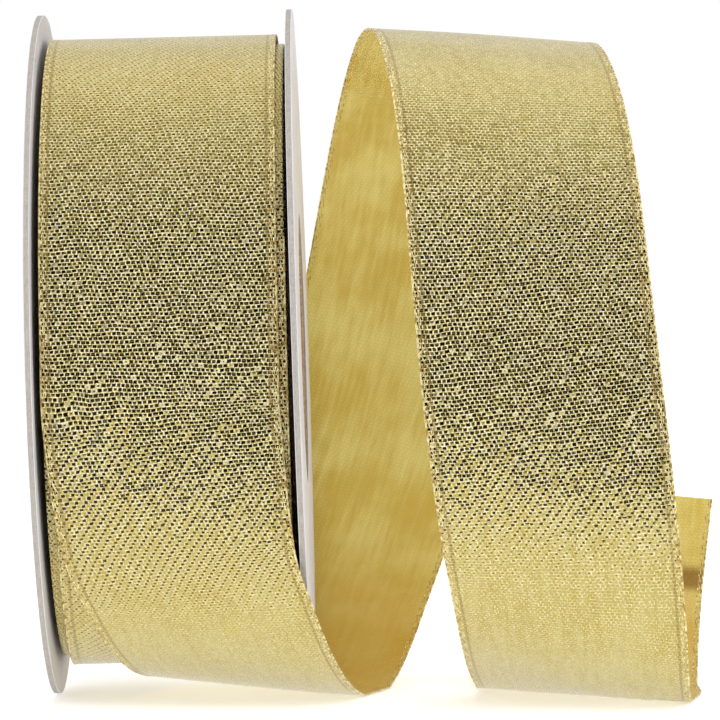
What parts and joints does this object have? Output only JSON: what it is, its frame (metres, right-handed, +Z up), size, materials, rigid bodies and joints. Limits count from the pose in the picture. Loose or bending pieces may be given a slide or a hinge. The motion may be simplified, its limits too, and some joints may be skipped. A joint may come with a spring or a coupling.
{
  "type": "ribbon spool",
  "caption": "Flanged paperboard spool of wide wired-edge lame ribbon, with a loose length of ribbon looped beside it.",
  "frame": {"origin": "on the floor, under the centre of the whole part's box", "axes": "+Z up, +X along the spool's axis towards the loose loop of ribbon, -Y towards the front"},
  "size_m": [0.1174, 0.1238, 0.1156],
  "materials": {
    "grey_board": "raw grey chipboard, seen on the flange rims",
    "white_liner": "matt white paper",
    "kraft_paper": "spiral-wound kraft paper tube",
    "clear_tape": "thin clear adhesive tape",
    "gold_lame": "woven metallic gold lame",
    "gold_wire": "fine gold-coloured wire"
  },
  "bodies": {
    "free_ribbon": {"ribbon_outer_turn": "gold_lame", "ribbon_tail": "gold_lame", "edge_wire_left": "gold_wire", "edge_wire_right": "gold_wire"},
    "spool": {"left_flange_board": "grey_board", "left_flange_outer_liner": "white_liner", "left_flange_inner_liner": "white_liner", "right_flange_board": "grey_board", "right_flange_outer_liner": "white_liner", "right_flange_inner_liner": "white_liner", "core_tube": "kraft_paper", "start_tape": "clear_tape", "ribbon_pack": "gold_lame"}
  },
  "joints": [
    {"name": "spool_spin", "type": "hinge", "parent": "free_ribbon", "child": "spool", "pos_m": [-0.03566, -0.00209, 0.05782], "axis": [0.9997, 0, 0.0247], "continuous": true}
  ]
}
